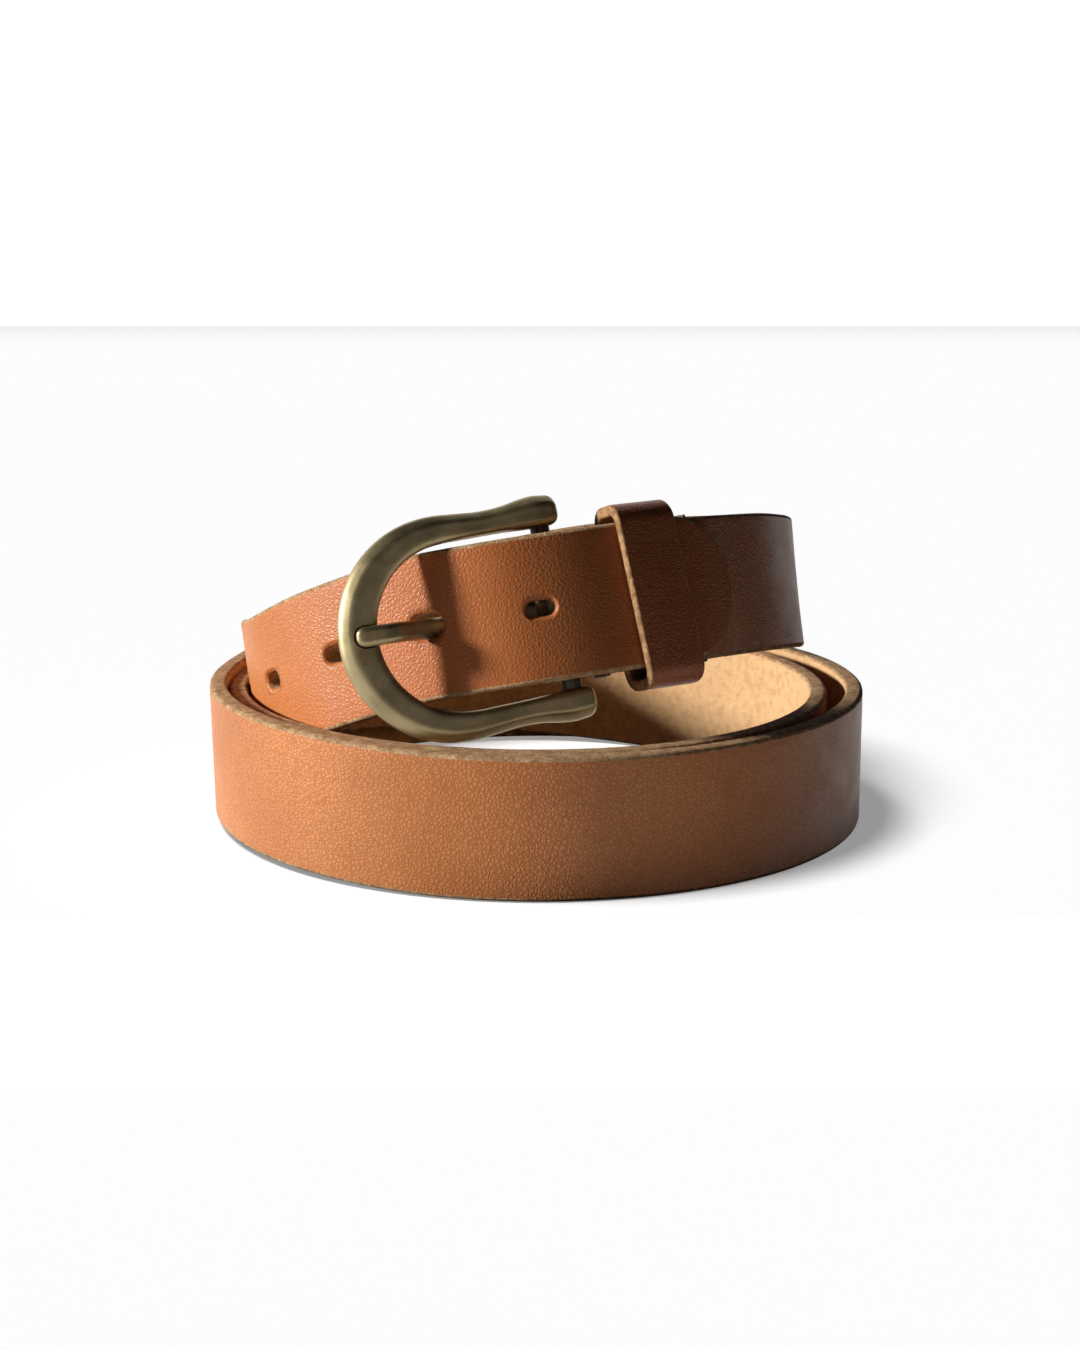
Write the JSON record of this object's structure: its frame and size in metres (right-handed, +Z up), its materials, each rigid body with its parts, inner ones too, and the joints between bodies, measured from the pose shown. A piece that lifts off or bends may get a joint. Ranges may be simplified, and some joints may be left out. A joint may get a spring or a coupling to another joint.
{
  "type": "leather belt",
  "caption": "Leather belt with a horseshoe pin buckle and a sliding leather keeper, buckled and wound into a coil that lies on its edge.",
  "frame": {"origin": "centre of the bottom of the bounding box, which is the centre of the coil's ring on the surface it lies on", "axes": "+Z up out of the surface the coil lies on, along the axis of the ring; -Y towards the buckle, at the front of the coil; +X to the right of someone facing the buckle"},
  "size_m": [0.1484, 0.1481, 0.0788],
  "materials": {
    "strap_leather": "full-grain vegetable-tanned tan leather with a soft sheen, tan raw edges and a pale suede flesh side",
    "keeper_leather": "darker brown full-grain leather with a fibrous tan cut edge",
    "antique_brass": "satin antique brass, dark olive on the flats and polished on the rounded outer edge",
    "plain_steel": "plain drawn steel",
    "waxed_thread": "dark brown waxed thread"
  },
  "bodies": {
    "strap": {"strap": "strap_leather", "stitch_row_bar_side": "waxed_thread", "stitch_row_keeper_side": "waxed_thread"},
    "buckle": {"buckle_frame": "antique_brass", "heel_bar": "plain_steel"},
    "prong": {"prong": "antique_brass"},
    "keeper": {"keeper_loop": "keeper_leather", "keeper_staple": "plain_steel"}
  },
  "joints": [
    {"name": "buckle_pivot", "type": "hinge", "parent": "strap", "child": "buckle", "pos_m": [0.00351, -0.05049, 0.05605], "axis": [-0.205, 0.2184, 0.9541], "range_deg": [-1, 1.2]},
    {"name": "prong_pivot", "type": "hinge", "parent": "buckle", "child": "prong", "pos_m": [0.00351, -0.05049, 0.05605], "axis": [-0.205, 0.2184, 0.9541], "range_deg": [0, 1]},
    {"name": "keeper_slide", "type": "hinge", "parent": "strap", "child": "keeper", "pos_m": [-0.0045, -0.001, 0.043], "axis": [-0.1541, 0.2285, 0.9613], "range_deg": [-3.2, 3.2]}
  ]
}
